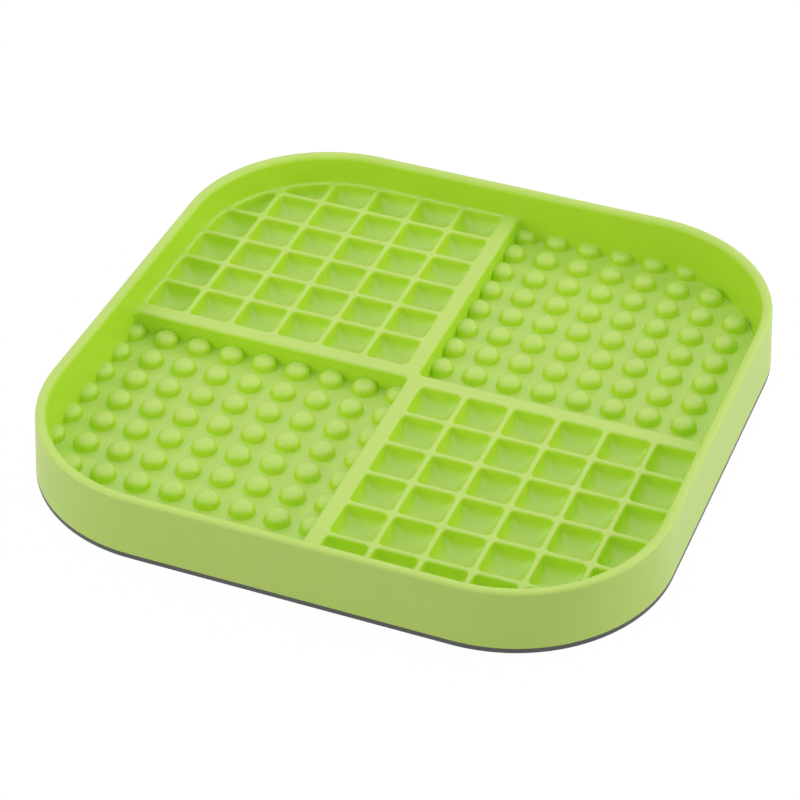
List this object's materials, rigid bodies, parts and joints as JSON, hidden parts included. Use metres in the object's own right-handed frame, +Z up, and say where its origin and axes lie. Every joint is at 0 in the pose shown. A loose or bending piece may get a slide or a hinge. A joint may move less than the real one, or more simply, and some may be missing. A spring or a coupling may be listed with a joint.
{
  "type": "slow feeder bowl",
  "caption": "Shallow square slow feeder bowl with rounded corners: a soft tray split by a cross divider into pocket grids and bump fields, bonded to a thin stiff base plate.",
  "frame": {"origin": "on the table, under the middle of the tray", "axes": "+Z up, +X to the right and +Y to the back with a pocket grid at the rear left and the front right"},
  "size_m": [0.2, 0.2, 0.0214],
  "materials": {
    "tray_rubber": "soft lime-green rubber moulding with a fine matte texture",
    "base_plate_plastic": "dark grey moulded plastic with a fine matte texture"
  },
  "bodies": {
    "root": {"base_plate": "base_plate_plastic", "rim_wall": "tray_rubber", "divider_cross": "tray_rubber", "grid_panel_rear_left": "tray_rubber", "grid_panel_front_right": "tray_rubber", "bump_floor_rear_right": "tray_rubber", "bump_floor_front_left": "tray_rubber", "bumps_rear_right": "tray_rubber", "bumps_front_left": "tray_rubber"}
  },
  "joints": []
}
